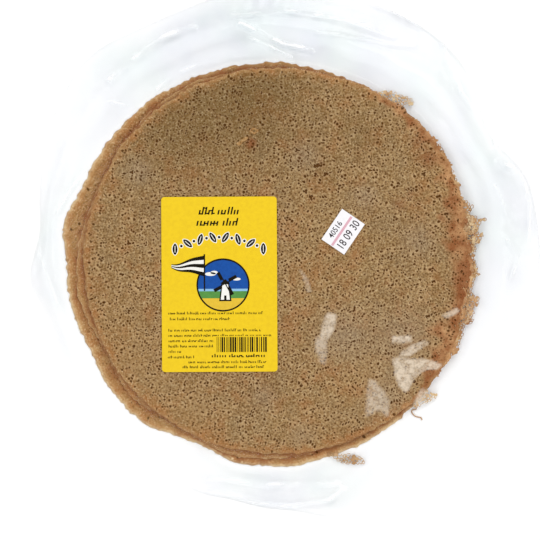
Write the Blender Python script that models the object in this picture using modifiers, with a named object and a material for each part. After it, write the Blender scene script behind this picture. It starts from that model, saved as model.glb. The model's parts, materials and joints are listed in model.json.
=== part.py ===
"""A sealed clear bag of four buckwheat galettes, with a printed label and a small date sticker on its film.

Metres, +Z up, +Y towards the top of the label. The bag lies flat on its back at z = 0, and the origin is
under the middle of its outline. The bag is one solid: its film follows the four stacked rounds inside, which
show as four ledges, and runs out round them as a soft margin with air in it. The label and the sticker are
thin plates on top of it.
"""

import functools
import math
import random

import bmesh
import bpy

# The stack. The rounds are listed from the top one down, with the middle of each given from the stack's own.
# A swell is an angle in degrees from +X, how far the edge stands out there (in, where negative) and its
# half width in degrees. The top round is frayed wide on the right, and the lowest one has crisp flaps.
ROUND_THICKNESS = 0.0018
ROUNDS = (
    {"x": 0.0012, "y": 0.0004, "radius": 0.1315, "seed": 11},
    {"x": -0.0010, "y": -0.0005, "radius": 0.1335, "seed": 23},
    {"x": -0.0025, "y": 0.0012, "radius": 0.1350, "seed": 37},
    {"x": -0.0048, "y": -0.0022, "radius": 0.1385, "seed": 41},
)
LOWEST = len(ROUNDS) - 1
ROUND_SWELLS = {
    0: ((9, 0.0085, 8), (343, 0.0085, 12), (357, 0.0020, 8)),
    LOWEST: (
        (49, 0.0085, 4),
        (169, 0.0035, 3),
        (206, -0.0025, 10),
        (246, -0.0065, 10),
        (292, 0.0085, 3.5),
        (318, 0.0065, 3),
    ),
}
RAGGED = 0.0007
LEAST_LEDGE = 0.0006
EDGE_ROUNDING = 0.00025

# The film round the stack.
FILM_UNDER = 0.0003
FILM_FOOT = 0.0024
FILM_EDGE = 0.0010
BAG_X = 0.0045
BAG_Y = 0.0080
BAG_RADIUS = 0.1765
BAG_WAVE = 0.0012
# The bag's outline comes in nearer to the stack where its corners are tucked under.
BAG_SWELLS = (
    (31, -0.0125, 10),
    (60, 0.0040, 12),
    (90, 0.0030, 16),
    (134, 0.0105, 14),
    (170, -0.0095, 11),
    (197, -0.0080, 11),
    (236, -0.0095, 12),
    (285, 0.0100, 9),
    (314, -0.0215, 16),
)
# The film stands highest above the table over the air that is left beside the stack, on the +Y side.
PILLOW_LEAST = 0.0012
PILLOW_MOST = 0.0058
PILLOW_TOWARDS = 85
CREASE_HEIGHT = 0.0011
CREASES = 2.5
CURL = 0.0022

# The label and the sticker on the film.
LABEL_WIDTH = 0.0785
LABEL_LENGTH = 0.1190
LABEL_CORNER = 0.0022
LABEL_PLACE = (-0.0381, -0.0155)
LABEL_TURN = 0.3
STICKER_LENGTH = 0.0250
STICKER_WIDTH = 0.0187
STICKER_CORNER = 0.0004
STICKER_PLACE = (0.0460, 0.0202)
STICKER_TURN = 55.8
PAPER_THICKNESS = 0.0003
PAPER_GAP = 0.0003

STACK_TOP = FILM_UNDER + ROUND_THICKNESS * len(ROUNDS)
STEPS = 180
# Rings across the flat top, as shares of the top round's radius.
TOP_RINGS = (0.45, 0.8, 0.95)
# Rings across the film, as shares of the way from the foot of the stack to the bag's edge.
FILM_RINGS = (0.0, 0.12, 0.27, 0.42, 0.57, 0.72, 0.86, 1.0)
# Where the film leaves the table underneath, as the same kind of share.
LIFT_SHARE = 0.8


def clear_scene():
    for thing in list(bpy.data.objects):
        bpy.data.objects.remove(thing)


def material(name, colour, roughness):
    """A Principled material in one colour."""
    made = bpy.data.materials.new(name)
    made.use_nodes = True
    shader = made.node_tree.nodes["Principled BSDF"]
    shader.inputs["Base Color"].default_value = (*colour, 1.0)
    shader.inputs["Roughness"].default_value = roughness
    shader.inputs["Metallic"].default_value = 0.0
    return made


@functools.cache
def waves(seed, slowest, fastest):
    """The count, height and phase of each wave in a ripple."""
    draw = random.Random(seed)
    counts = range(slowest, fastest + 1)
    height = 1 / math.sqrt(len(counts))
    return [(count, height * draw.uniform(0.4, 1.0), draw.uniform(0, math.tau)) for count in counts]


def ripple(angle, seed, slowest, fastest):
    """A smooth closed ripple round the circle, mostly between -1 and 1, from waves of several lengths."""
    drawn = waves(seed, slowest, fastest)
    return sum(height * math.sin(count * angle + phase) for count, height, phase in drawn)


def swelling(angle, swells):
    """How far the swells move an outline in a direction."""
    total = 0.0
    for middle, reach, half_width in swells:
        away = (math.degrees(angle) - middle + 180) % 360 - 180
        total += reach * math.exp(-((away / half_width) ** 2))
    return total


def circle_reach(angle, x, y, radius):
    """How far a circle about (x, y) reaches from the stack's middle in a direction."""
    along = x * math.cos(angle) + y * math.sin(angle)
    return along + math.sqrt(radius**2 - x**2 - y**2 + along**2)


def round_reach(angle, number):
    """How far one of the rounds reaches in a direction, always past the round above it by some ledge."""
    reach = 0.0
    for above, thing in enumerate(ROUNDS[: number + 1]):
        own = circle_reach(angle, thing["x"], thing["y"], thing["radius"])
        own += RAGGED * ripple(angle, thing["seed"], 5, 30)
        own += swelling(angle, ROUND_SWELLS.get(above, ()))
        reach = max(reach + LEAST_LEDGE, own)
    return reach


def bag_reach(angle):
    """How far the bag's film reaches in a direction."""
    reach = circle_reach(angle, BAG_X, BAG_Y, BAG_RADIUS)
    return reach + swelling(angle, BAG_SWELLS) + BAG_WAVE * ripple(angle, 71, 6, 22)


def film_radius(angle, share):
    """How far out the film is, at a share of the way from the foot of the stack to the bag's edge."""
    foot = round_reach(angle, LOWEST) + EDGE_ROUNDING
    return foot + (bag_reach(angle) - foot) * share


def edge_lift(angle):
    """How far the bag's edge curls up off the table in a direction."""
    return CURL * (0.5 + 0.5 * ripple(angle, 59, 2, 6)) ** 2


def film_height(angle, share):
    """The film's height above the table, at a share of the way from the stack's foot to the bag's edge."""
    lean = 0.5 + 0.5 * math.cos(angle - math.radians(PILLOW_TOWARDS))
    pillow = PILLOW_LEAST + (PILLOW_MOST - PILLOW_LEAST) * lean
    bulge = math.sin(math.pi * share**0.8)
    slope = FILM_FOOT + (FILM_EDGE - FILM_FOOT) * share
    crease = math.sin(math.tau * CREASES * share + 2.2 * ripple(angle, 83, 2, 7))
    buckle = ripple(angle + 0.3 * share, 97, 9, 30)
    folds = CREASE_HEIGHT * bulge * (0.6 * crease + 0.35 * buckle) * (0.4 + 0.6 * lean)
    return slope + pillow * bulge + folds + edge_lift(angle) * share**4


def ledge_rings(number):
    """The rings of one round's edge: the rim of its top, its outer side and its foot on the round below."""
    top = STACK_TOP - number * ROUND_THICKNESS
    foot = FILM_FOOT if number == LOWEST else top - ROUND_THICKNESS
    steps = [(-EDGE_ROUNDING, top), (0.0, (top + foot) / 2), (EDGE_ROUNDING, foot)]
    if number == LOWEST:
        # The film's first ring is the foot of the lowest round.
        steps.pop()
    return [lambda angle, out=out, z=z: (round_reach(angle, number) + out, z) for out, z in steps]


def bag_rings():
    """The bag's rings, from the middle of its top out over the ledges and the film, and back underneath.

    Each is a function that gives the ring's radius and height in a direction.
    """
    rings = [lambda angle: (0.0, STACK_TOP)]
    for share in TOP_RINGS:
        rings.append(lambda angle, share=share: (round_reach(angle, 0) * share, STACK_TOP))
    for number in range(len(ROUNDS)):
        rings += ledge_rings(number)
    for share in FILM_RINGS:
        rings.append(lambda angle, share=share: (film_radius(angle, share), film_height(angle, share)))
    rings.append(lambda angle: (film_radius(angle, 1.0) - FILM_EDGE / 4, edge_lift(angle)))
    rings.append(lambda angle: (film_radius(angle, LIFT_SHARE), 0.0))
    rings.append(lambda angle: (0.0, 0.0))
    return rings


def turned(name, rings):
    """The rings' section at +X, turned by a Screw modifier, with each vertex's ring as an attribute."""
    points = [(radius, 0.0, height) for radius, height in (place(0.0) for place in rings)]
    section = bpy.data.meshes.new(name)
    section.from_pydata(points, [(i, i + 1) for i in range(len(points) - 1)], [])
    section.attributes.new("ring", "INT", "POINT").data.foreach_set("value", range(len(points)))
    thing = bpy.data.objects.new(name, section)
    bpy.context.scene.collection.objects.link(thing)
    screw = thing.modifiers.new("Screw", "SCREW")
    screw.steps = STEPS
    screw.render_steps = STEPS
    screw.use_merge_vertices = True
    screw.merge_threshold = 0.00001
    graph = bpy.context.evaluated_depsgraph_get()
    made = bpy.data.meshes.new_from_object(thing.evaluated_get(graph))
    bpy.data.objects.remove(thing)
    return made


def make_bag(collection):
    """The filled bag: a turned shape, each vertex of which then goes to its ring's place in its direction."""
    rings = bag_rings()
    mesh = turned("bag", rings)
    own_ring = mesh.attributes["ring"].data
    for vertex in mesh.vertices:
        angle = math.atan2(vertex.co.y, vertex.co.x)
        radius, height = rings[own_ring[vertex.index].value](angle)
        vertex.co = (radius * math.cos(angle), radius * math.sin(angle), height)
    mesh.shade_smooth()
    mesh.materials.append(material("clear_film_over_buckwheat", (0.32, 0.20, 0.10), 0.25))
    bag = bpy.data.objects.new("bag", mesh)
    collection.objects.link(bag)
    return bag


def make_paper(collection, name, size, corner, place, turn, finish):
    """A thin plate of paper with rounded corners, lying on the film."""
    shape = bmesh.new()
    bmesh.ops.create_cube(shape, size=1.0)
    bmesh.ops.scale(shape, vec=(*size, PAPER_THICKNESS), verts=shape.verts)
    upright = [e for e in shape.edges if abs(e.verts[0].co.z - e.verts[1].co.z) > PAPER_THICKNESS / 2]
    bmesh.ops.bevel(shape, geom=upright, offset=corner, segments=4, affect="EDGES", profile=0.5)
    mesh = bpy.data.meshes.new(name)
    shape.to_mesh(mesh)
    shape.free()
    mesh.materials.append(finish)
    paper = bpy.data.objects.new(name, mesh)
    paper.location = (*place, STACK_TOP + PAPER_GAP + PAPER_THICKNESS / 2)
    paper.rotation_euler = (0.0, 0.0, math.radians(turn))
    collection.objects.link(paper)
    return paper


def make_label(collection):
    finish = material("yellow_label_paper", (0.90, 0.62, 0.03), 0.4)
    size = (LABEL_WIDTH, LABEL_LENGTH)
    return make_paper(collection, "label", size, LABEL_CORNER, LABEL_PLACE, LABEL_TURN, finish)


def make_sticker(collection):
    finish = material("white_sticker_paper", (0.85, 0.84, 0.85), 0.5)
    size = (STICKER_LENGTH, STICKER_WIDTH)
    return make_paper(collection, "date_sticker", size, STICKER_CORNER, STICKER_PLACE, STICKER_TURN, finish)


def centre_on_origin(collection, bag, others):
    """Parents everything to an empty that brings the middle of the bag's outline over the origin."""
    middle = bpy.data.objects.new("under_the_middle", None)
    collection.objects.link(middle)
    for axis in (0, 1):
        places = [vertex.co[axis] for vertex in bag.data.vertices]
        middle.location[axis] = -(min(places) + max(places)) / 2
    for thing in (bag, *others):
        thing.parent = middle
    print("the stack's middle is at", [round(number, 5) for number in middle.location])


def main():
    clear_scene()
    collection = bpy.data.collections.new("bag_of_buckwheat_galettes")
    bpy.context.scene.collection.children.link(collection)
    bag = make_bag(collection)
    label = make_label(collection)
    sticker = make_sticker(collection)
    centre_on_origin(collection, bag, (label, sticker))


main()
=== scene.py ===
# %% [markdown]
# # A sealed bag of buckwheat galettes
# Four thin, flat rounds of buckwheat batter lie in a stack inside a clear film bag. A yellow label and a
# small white date sticker are stuck on the film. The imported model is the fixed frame: it says where the
# stack, the film's edge, the label and the sticker are, and every piece below is fitted to it. Lengths are
# in metres.

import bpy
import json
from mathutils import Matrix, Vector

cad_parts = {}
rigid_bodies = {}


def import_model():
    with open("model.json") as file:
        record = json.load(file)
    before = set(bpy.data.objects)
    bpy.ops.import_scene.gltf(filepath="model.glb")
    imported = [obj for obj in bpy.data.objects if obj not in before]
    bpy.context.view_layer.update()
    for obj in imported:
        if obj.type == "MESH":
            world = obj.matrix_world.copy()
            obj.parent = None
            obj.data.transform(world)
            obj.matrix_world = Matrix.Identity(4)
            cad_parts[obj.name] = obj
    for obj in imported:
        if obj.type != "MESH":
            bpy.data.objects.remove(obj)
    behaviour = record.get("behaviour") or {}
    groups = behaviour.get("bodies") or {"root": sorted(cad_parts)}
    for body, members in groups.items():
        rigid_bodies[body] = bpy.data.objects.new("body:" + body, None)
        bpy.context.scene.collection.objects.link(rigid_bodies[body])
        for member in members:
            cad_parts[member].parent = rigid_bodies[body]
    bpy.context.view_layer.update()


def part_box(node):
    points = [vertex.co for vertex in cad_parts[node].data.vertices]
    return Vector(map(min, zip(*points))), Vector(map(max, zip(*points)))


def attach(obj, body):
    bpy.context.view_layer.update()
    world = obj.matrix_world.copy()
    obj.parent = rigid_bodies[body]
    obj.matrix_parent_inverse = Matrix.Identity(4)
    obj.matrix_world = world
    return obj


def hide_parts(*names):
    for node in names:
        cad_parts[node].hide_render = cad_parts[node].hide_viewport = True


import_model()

# %% Names for the tools used below
import contextlib
import functools
import json
import math
import random

import bmesh
import bpy
from mathutils import Vector, noise

MM = 0.001

# %% [markdown]
# ## Where things are
# The label's place is measured from the frame, and the middle of the stack lies a fixed way from it. The
# photo was taken from straight above with the label a little left of the middle, so the camera is set from
# the label too. The view is square and takes in 367 mm.

# %% Places from the frame
label_low, label_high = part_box("label")
label_middle = (label_low + label_high) / 2
sticker_low, sticker_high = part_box("date_sticker")
sticker_middle = (sticker_low + sticker_high) / 2
STACK_X = label_middle.x + 38.1 * MM
STACK_Y = label_middle.y + 15.5 * MM
STACK_TOP = label_low.z - 0.3 * MM
ROUND_THICKNESS = 1.8 * MM
print("stack middle", round(STACK_X, 4), round(STACK_Y, 4), "top", round(STACK_TOP, 4))

# %% Camera
VIEW_WIDTH = 367.2 * MM
CAMERA_HEIGHT = 750 * MM
camera_data = bpy.data.cameras.new("camera_above")
camera_data.lens = camera_data.sensor_width * (CAMERA_HEIGHT - STACK_TOP) / VIEW_WIDTH
camera_data.clip_end = 10
camera = bpy.data.objects.new("camera_above", camera_data)
camera.location = (label_middle.x + 34.4 * MM, label_middle.y + 9.7 * MM, CAMERA_HEIGHT)
bpy.context.scene.collection.objects.link(camera)
bpy.context.scene.camera = camera
print("camera", [round(number, 4) for number in camera.location])

# %% [markdown]
# ## Helpers for modelling
# An operator works on whatever is selected, so each step first deselects everything. New primitives have
# their place applied at once, because every finished piece keeps its object at the origin.

# %% Selecting and applying


def deselect_all():
    for thing in bpy.context.view_layer.objects:
        thing.select_set(False)


def choose(thing):
    """Makes one object the only selected and active one."""
    deselect_all()
    thing.select_set(True)
    bpy.context.view_layer.objects.active = thing


def added(name):
    """Names the primitive that was just added, and puts its place into its mesh."""
    thing = bpy.context.active_object
    thing.name = name
    thing.data.name = name
    choose(thing)
    bpy.ops.object.transform_apply(location=True, rotation=True, scale=True)
    return thing


def apply_modifier(thing, kind, **settings):
    """Adds a modifier with its settings and applies it."""
    choose(thing)
    modifier = thing.modifiers.new(kind.title(), kind)
    for name, value in settings.items():
        setattr(modifier, name, value)
    bpy.ops.object.modifier_apply(modifier=modifier.name)


@contextlib.contextmanager
def editing(thing, kind="FACE"):
    """Edit mode on one object with nothing selected, for picking its VERT, EDGE or FACE."""
    choose(thing)
    bpy.ops.object.mode_set(mode="EDIT")
    bpy.ops.mesh.select_mode(type=kind)
    bpy.ops.mesh.select_all(action="DESELECT")
    yield bmesh.from_edit_mesh(thing.data)
    bpy.ops.object.mode_set(mode="OBJECT")


def pick(thing, parts, wanted):
    """In edit mode, selects only the verts, edges or faces that are wanted, and says how many they are."""
    bpy.ops.mesh.select_all(action="DESELECT")
    shape = bmesh.from_edit_mesh(thing.data)
    chosen = [part for part in getattr(shape, parts) if wanted(part)]
    for part in chosen:
        part.select_set(True)
    bmesh.update_edit_mesh(thing.data)
    return len(chosen)


def delete_faces(thing, wanted):
    """Deletes the faces for which wanted is true."""
    with editing(thing):
        if pick(thing, "faces", wanted):
            bpy.ops.mesh.delete(type="FACE")


def turn_outwards(merge=0.0):
    """In edit mode, merges corners that are closer than a distance, and points every face outwards."""
    bpy.ops.mesh.select_all(action="SELECT")
    if merge:
        bpy.ops.mesh.remove_doubles(threshold=merge)
    bpy.ops.mesh.normals_make_consistent(inside=False)


# %% [markdown]
# ## Outlines
# No galette is a true circle: the batter runs, and the rim is left ragged. Each outline here is a circle
# that is set a little off the stack's middle, with a few broad swells where the rim stands out or is pulled
# in, and a ripple of many small waves. The same numbers shape the solids of the frame, so the galettes and
# the film meet them without fitting.

# %% Outline numbers
TOP_ROUND = {"x": 1.2 * MM, "y": 0.4 * MM, "radius": 131.5 * MM, "seed": 11}
LOW_ROUND = {"x": -4.8 * MM, "y": -2.2 * MM, "radius": 138.5 * MM, "seed": 41}
LOWEST = 3

# Swells, each as a direction in degrees, how far it reaches and its half width in degrees.
LOW_SWELLS = ((170, 4.5 * MM, 7), (206, -2.5 * MM, 10), (246, -6.5 * MM, 10))
MIDDLE_SHOWS = ((188, 0.42, 14), (262, 0.45, 18), (116, 0.40, 18), (222, 0.30, 8))
RAGGED = 0.7 * MM
BAG = {"x": 4.5 * MM, "y": 8.0 * MM, "radius": 176.5 * MM}
BAG_WAVE = 1.2 * MM

# The bag's swells are in millimetres.
BAG_SWELLS = ((31, -12.5, 10), (60, 4.0, 12), (90, 3.0, 16), (134, 10.5, 14), (170, -9.5, 11))
BAG_SWELLS += ((197, -8.0, 11), (236, -9.5, 12), (285, 10.0, 9), (314, -21.5, 16))

# %% Outline functions


@functools.cache
def waves(seed, slowest, fastest):
    """The count, height and phase of each wave in a ripple."""
    draw = random.Random(seed)
    counts = range(slowest, fastest + 1)
    height = 1 / math.sqrt(len(counts))
    return [(count, height * draw.uniform(0.4, 1.0), draw.uniform(0, math.tau)) for count in counts]


def ripple(angle, seed, slowest, fastest):
    """A smooth closed ripple round the circle, mostly between -1 and 1."""
    drawn = waves(seed, slowest, fastest)
    return sum(height * math.sin(count * angle + phase) for count, height, phase in drawn)


def drift(x, y, seed, size):
    """A slow random wave over a plane, between about -1 and 1, that swings over about the given size."""
    return noise.noise(Vector((x / size, y / size, seed * 3.7)))


def swell(angle, middle, half_width):
    """1 at the middle angle, falling smoothly to 0 on either side, both in degrees."""
    away = (math.degrees(angle) - middle + 180) % 360 - 180
    return math.exp(-((away / half_width) ** 2))


def swelling(angle, swells):
    """How far the swells move an outline in a direction."""
    return sum(reach * swell(angle, middle, half_width) for middle, reach, half_width in swells)


def circle_reach(angle, circle):
    """How far a circle that is set off the stack's middle reaches in a direction."""
    x, y = circle["x"], circle["y"]
    along = x * math.cos(angle) + y * math.sin(angle)
    return along + math.sqrt(circle["radius"] ** 2 - x**2 - y**2 + along**2)


def ragged_circle(angle, circle):
    """How far a round's own ragged outline reaches in a direction."""
    return circle_reach(angle, circle) + RAGGED * ripple(angle, circle["seed"], 5, 30)


def bag_reach(angle):
    """How far the bag's film reaches in a direction."""
    return circle_reach(angle, BAG) + swelling(angle, BAG_SWELLS) * MM + BAG_WAVE * ripple(angle, 71, 6, 22)


def table_of(reach):
    """A quick version of an outline function: it is read once for each third of a degree."""
    steps = 1080
    values = [reach(math.tau * step / steps) for step in range(steps + 1)]

    def read(angle):
        place = (angle % math.tau) / math.tau * steps
        first = int(place)
        share = place - first
        return values[first] * (1 - share) + values[min(first + 1, steps)] * share

    return read


def polar(point):
    """A point's direction and distance from the stack's middle."""
    return math.atan2(point.y - STACK_Y, point.x - STACK_X), math.hypot(point.x - STACK_X, point.y - STACK_Y)


def from_middle(point):
    """A point's place from the stack's middle, in millimetres."""
    return (point.x - STACK_X) / MM, (point.y - STACK_Y) / MM


def inside_by(edge, point):
    """How far a point lies inside an outline."""
    angle, distance = polar(point)
    return edge(angle) - distance


def lacy(angle):
    """1 along the right side, where the top round's batter ran out thin as lace, falling to 0 elsewhere."""
    return min(1.0, swell(angle, 5, 32) + swell(angle, 330, 22) + swell(angle, 48, 16))


def laciest(angle):
    """1 in the two stretches where only lace is left of the top round's rim, falling to 0 elsewhere."""
    return min(1.0, swell(angle, 8, 8) + swell(angle, 346, 8))


def fray(angle, number):
    """The fine raggedness of one round's rim, too fine for the solids."""
    ragged = 0.3 * MM * ripple(angle, 100 + number, 40, 110)
    ragged += 1.3 * MM * drift(135 * math.cos(angle), 135 * math.sin(angle), 120 + number, 2.6)
    if number == 0:
        ragged += 0.9 * MM * lacy(angle) * ripple(angle, 131, 28, 80)
    return ragged


def top_reach(angle):
    """The top round without its lace."""
    return ragged_circle(angle, TOP_ROUND) + (3.2 * lacy(angle) - 4.5 * laciest(angle)) * MM


def low_reach(angle):
    """The lowest round's own outline."""
    own = ragged_circle(angle, LOW_ROUND) + swelling(angle, LOW_SWELLS) - 6.0 * MM * laciest(angle)
    return max(own, top_reach(angle) + (1.8 - 3.0 * lacy(angle)) * MM)


def middle_reach(angle, share, seed, shows=()):
    """A round between the top and the lowest, which shows past the top one only in a few stretches."""
    share += swelling(angle, shows) + 0.05 * ripple(angle, seed, 3, 16)
    top = top_reach(angle)
    return top + (low_reach(angle) - top) * min(0.95, max(0.03, share))


round_edges = [
    table_of(lambda angle: top_reach(angle) + fray(angle, 0)),
    table_of(lambda angle: middle_reach(angle, 0.04, 141) + fray(angle, 1)),
    table_of(lambda angle: middle_reach(angle, 0.08, 142, MIDDLE_SHOWS) + fray(angle, 2)),
    table_of(lambda angle: low_reach(angle) + fray(angle, 3)),
]
bag_edge = table_of(bag_reach)
even_top, even_low = table_of(top_reach), table_of(low_reach)
print("top round reaches", [round(round_edges[0](math.radians(a)) / MM, 1) for a in (0, 90, 180, 270)], "mm")

# %% [markdown]
# ## Colours and nodes
# Colours are written as they look on a screen, as sRGB hex values, and one function turns them to the linear
# numbers that the shaders work in. One small function adds a node, sets it and links it.

# %% Colour and node helpers


def linear(hex_colour):
    """An sRGB hex colour as the linear RGBA that a socket takes."""
    parts = [int(hex_colour[i : i + 2], 16) / 255 for i in (1, 3, 5)]
    return (*(part / 12.92 if part <= 0.04045 else ((part + 0.055) / 1.055) ** 2.4 for part in parts), 1.0)


def add_node(tree, kind, inputs=None, stops=None, **settings):
    """Adds a node. An input is a value, or the output socket that it is linked to."""
    node = tree.nodes.new(kind)
    for name, value in settings.items():
        setattr(node, name, value)
    for name, value in (inputs or {}).items():
        if isinstance(value, bpy.types.NodeSocket):
            tree.links.new(value, node.inputs[name])
        else:
            node.inputs[name].default_value = value
    if stops:
        elements = node.color_ramp.elements
        while len(elements) < len(stops):
            elements.new(1.0)
        for element, (place, colour) in zip(elements, stops):
            element.position = place
            element.color = colour
    return node


def new_material(name):
    """An empty node tree with its output, and coordinates in millimetres on the piece."""
    made = bpy.data.materials.new(name)
    made.use_nodes = True
    tree = made.node_tree
    tree.nodes.clear()
    output = add_node(tree, "ShaderNodeOutputMaterial")
    place = add_node(tree, "ShaderNodeTexCoord").outputs["Object"]
    in_mm = add_node(tree, "ShaderNodeMapping", {"Vector": place, "Scale": (1000, 1000, 1000)})
    return made, tree, output, in_mm.outputs["Vector"]


# %% [markdown]
# ## The buckwheat
# A galette is a thin batter of buckwheat flour, water and salt, spread on a hot plate. Steam bursts through
# it and leaves hundreds of small dark pores, and the crumb between them dries to a matt, greyish tan. Near
# the rim the batter runs out thin and cooks to a smoother, redder tan, and the thinnest edge goes crisp and
# red-brown. The finish reads seven values from the mesh: how deep a point lies in a pore, how high on a
# pore's lip, where a painted highlight lightens the crumb, how far it is from the rim in millimetres, how
# crisp it is, whether a seam is there, which is partly damp and partly painted shade under the next round's
# edge, whether a stain is there, one of which is a painted shadow under the torn spot, and how long it baked.
# The foam's cells are 1.9 mm wide. The flour's specks are finer than a picture of the whole bag can show, so
# the grain is drawn coarser, at 1.1 mm.

# %% Buckwheat material


def share_of(tree, *ranges):
    """A share from some values: each is brought from its range to another, and the results are multiplied."""
    whole = None
    for value, low, high, least, most in ranges:
        limits = {"Value": value, "From Min": low, "From Max": high, "To Min": least, "To Max": most}
        part = add_node(tree, "ShaderNodeMapRange", limits).outputs[0]
        if whole:
            part = add_node(tree, "ShaderNodeMath", {0: whole, 1: part}, operation="MULTIPLY").outputs[0]
        whole = part
    return whole


def coat(tree, under, over, *ranges):
    """Lays one colour over another, as much as its ranges say."""
    inputs = {0: share_of(tree, *ranges), 6: under, 7: over}
    return add_node(tree, "ShaderNodeMix", inputs, data_type="RGBA").outputs[2]


CRUMB_VALUES = ("pore", "lip_highlight", "edge_mm", "crisp", "damp_and_shaded_seam", "stain_and_shadow", "toast")


def baked_buckwheat(name, shift):
    made, tree, output, in_mm = new_material(name)
    moved = add_node(tree, "ShaderNodeVectorMath", {0: in_mm, 1: shift}, operation="ADD").outputs[0]
    noises = []
    for size, detail, roughness in ((34, 3.0, 0.6), (15, 2.0, 0.6), (9, 4.0, 0.6), (1.1, 4.0, 0.7)):
        values = {"Vector": moved, "Scale": 1 / size, "Detail": detail, "Roughness": roughness}
        noises.append(add_node(tree, "ShaderNodeTexNoise", values).outputs["Fac"])
    broad, drifts, patch, grain = noises
    foam = {"Vector": moved, "Scale": 1 / 1.9}
    cells = add_node(tree, "ShaderNodeTexVoronoi", foam, voronoi_dimensions="2D")
    cell_draw = add_node(tree, "ShaderNodeSeparateColor", {"Color": cells.outputs["Color"]}).outputs["Red"]
    stored = [add_node(tree, "ShaderNodeAttribute", attribute_name=value) for value in CRUMB_VALUES]
    pore, lip_highlight, edge, crisp, damp_and_shaded_seam, stain_and_shadow, toast = (node.outputs["Fac"] for node in stored)
    open_crumb = (edge, 3.0, 7.0, 0.0, 1.0)

    # The crumb: broad drifts of tone, darker patches, a lighter network of walls round the cells of the foam
    # and lighter lips round the pores, both a painted highlight on the raised crumb, and parts that were baked
    # for
    # longer or less long. The rim: the batter thins to a smoother, more golden tan towards the edge, and is
    # palest at the very edge.
    rim_grain = (edge, 9.0, 3.0, 0.3, 0.5)
    coats = (
        ("#65482a", (patch, 0.52, 0.75, 0.0, 0.5)),
        ("#a08257", (cells.outputs["Distance"], 0.30, 0.55, 0.0, 0.65), open_crumb),
        ("#aa8d62", (grain, 0.5, 0.68, 0.0, 0.75)),
        ("#4f3417", (grain, 0.46, 0.34, 0.0, 0.65)),
        ("#b8996f", (lip_highlight, 0.3, 1.2, 0.0, 0.7)),
        ("#986034", (drifts, 0.52, 0.72, 0.0, 0.42)),
        ("#897556", (drifts, 0.48, 0.30, 0.0, 0.35)),
        ("#5f4a27", (toast, 0.0, 1.0, 0.0, 0.8)),
        ("#a88151", (toast, 0.0, -1.0, 0.0, 0.8)),
        ("#958571", (stain_and_shadow, 0.0, -1.0, 0.0, 0.75)),
        ("#a07546", (edge, 8.0, 2.0, 0.0, 0.65)),
        ("#c79f6e", (edge, 5.0, 1.5, 0.0, 0.75)),
        ("#e0c79e", (edge, 2.4, 0.2, 0.0, 0.9)),
        ("#a56b3b", (edge, 12.0, 4.0, 0.0, 1.0), (patch, 0.44, 0.62, 0.0, 0.5)),
        ("#74491f", rim_grain, (grain, 0.48, 0.34, 0.0, 1.0)),
        ("#ead4ac", rim_grain, (grain, 0.54, 0.68, 0.0, 1.0)),
    )
    tone = coat(tree, linear("#735430"), linear("#81633c"), (broad, 0.35, 0.65, 0.0, 1.0))
    for colour, *ranges in coats:
        tone = coat(tree, tone, linear(colour), *ranges)

    # The crisp band, the darker seams under the rims, partly damp and partly painted shade under the upper
    # round's edge, and the redder stains, one of which is a painted shadow under the torn spot.
    burnt = coat(tree, linear("#8a5531"), linear("#b98d62"), (patch, 0.40, 0.60, 0.0, 1.0))
    tone = coat(tree, tone, burnt, (crisp, 0.0, 1.0, 0.0, 1.0), (grain, 0.3, 0.55, 0.55, 1.0))
    tone = coat(tree, tone, linear("#885433"), (damp_and_shaded_seam, 0.0, 1.0, 0.0, 1.0), (patch, 0.38, 0.62, 0.4, 1.0))
    tone = coat(tree, tone, linear("#804a29"), (stain_and_shadow, 0.0, 1.0, 0.0, 0.9), (grain, 0.3, 0.6, 1.0, 0.7))

    # The pores: a dark middle in each cell of the foam, and the pores that are pressed into the mesh.
    size = share_of(tree, (cell_draw, 0.0, 1.0, -0.04, 0.27))
    inside = add_node(tree, "ShaderNodeMath", {0: size, 1: cells.outputs["Distance"]}, operation="SUBTRACT")
    hole = (inside.outputs[0], -0.05, 0.08, 0.0, 0.7)
    tone = coat(tree, tone, linear("#50300d"), hole, open_crumb)
    tone = coat(tree, tone, linear("#4e2c06"), (pore, 0.25, 0.9, 0.0, 0.9))

    dips = share_of(tree, hole, open_crumb)
    height = add_node(tree, "ShaderNodeMath", {0: grain, 1: dips}, operation="SUBTRACT").outputs[0]
    relief = add_node(tree, "ShaderNodeBump", {"Height": height, "Strength": 0.5, "Distance": 0.25 * MM})
    relief = relief.outputs["Normal"]
    values = {"Base Color": tone, "Roughness": 0.72, "Specular IOR Level": 0.06, "Normal": relief}
    shader = add_node(tree, "ShaderNodeBsdfPrincipled", values)
    tree.links.new(shader.outputs["BSDF"], output.inputs["Surface"])
    return made


# %% [markdown]
# ## Cutting a round of batter
# A galette's crumb is a foam that has set: cells that each touch about six others. So the sheet that it is
# made from isn't a plain grid. A wall of bricks has the same pattern, because each brick touches six
# others, and a grid becomes one when every second upright edge is dissolved. Moving its corners up and down
# in turn makes the bricks even six-sided cells, and a slow random warp bends the rows until none shows.

# %% A sheet of six-sided cells
# In cell widths: how far apart the rows lie and how far the corners move up or down for even hexagons.
RISE = 0.866
ZIGZAG = 0.144

# In cell widths: how far the sheet is warped, how wide those waves are, and how far each corner is shaken.
WARP = 0.8
WARP_SIZE = 3.5
SHAKE = 0.12


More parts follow.
